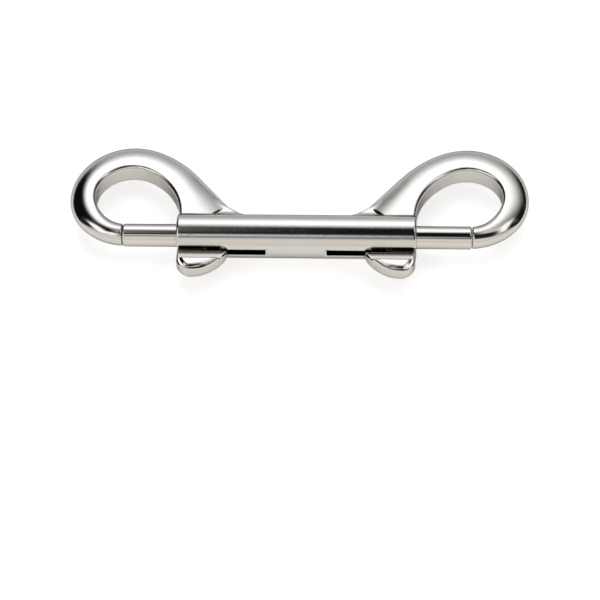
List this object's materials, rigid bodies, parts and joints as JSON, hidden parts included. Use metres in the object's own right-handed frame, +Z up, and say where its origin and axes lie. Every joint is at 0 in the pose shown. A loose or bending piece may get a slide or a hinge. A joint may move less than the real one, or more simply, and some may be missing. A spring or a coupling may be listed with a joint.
{
  "type": "double ended snap hook",
  "caption": "Double ended bolt snap: a cast barrel with a closed hook at each end, each shut by a spring-loaded bolt with a thumb tab.",
  "frame": {"origin": "on the surface the barrel lies on, in the middle of the part's length and width", "axes": "+X along the barrel, +Y from the thumb tabs towards the hooks' tops, +Z up; the plane of the hooks is level"},
  "size_m": [0.115, 0.041, 0.0108],
  "materials": {
    "body_nickel": "satin nickel plate on a zinc casting",
    "bolt_nickel": "smooth nickel plate on a zinc casting",
    "spring_steel": "drawn spring wire"
  },
  "bodies": {
    "body": {"body": "body_nickel", "left_spring": "spring_steel", "right_spring": "spring_steel"},
    "left_bolt": {"left_bolt": "bolt_nickel"},
    "right_bolt": {"right_bolt": "bolt_nickel"}
  },
  "joints": [
    {"name": "left_bolt_slide", "type": "slide", "parent": "body", "child": "left_bolt", "axis": [1, 0, 0], "range_m": [0, 0.0135], "stiffness_N_per_m": 400, "springref_m": -0.008, "deforming": ["left_spring"]},
    {"name": "right_bolt_slide", "type": "slide", "parent": "body", "child": "right_bolt", "axis": [-1, 0, 0], "range_m": [0, 0.0135], "stiffness_N_per_m": 400, "springref_m": -0.008, "deforming": ["right_spring"]}
  ]
}
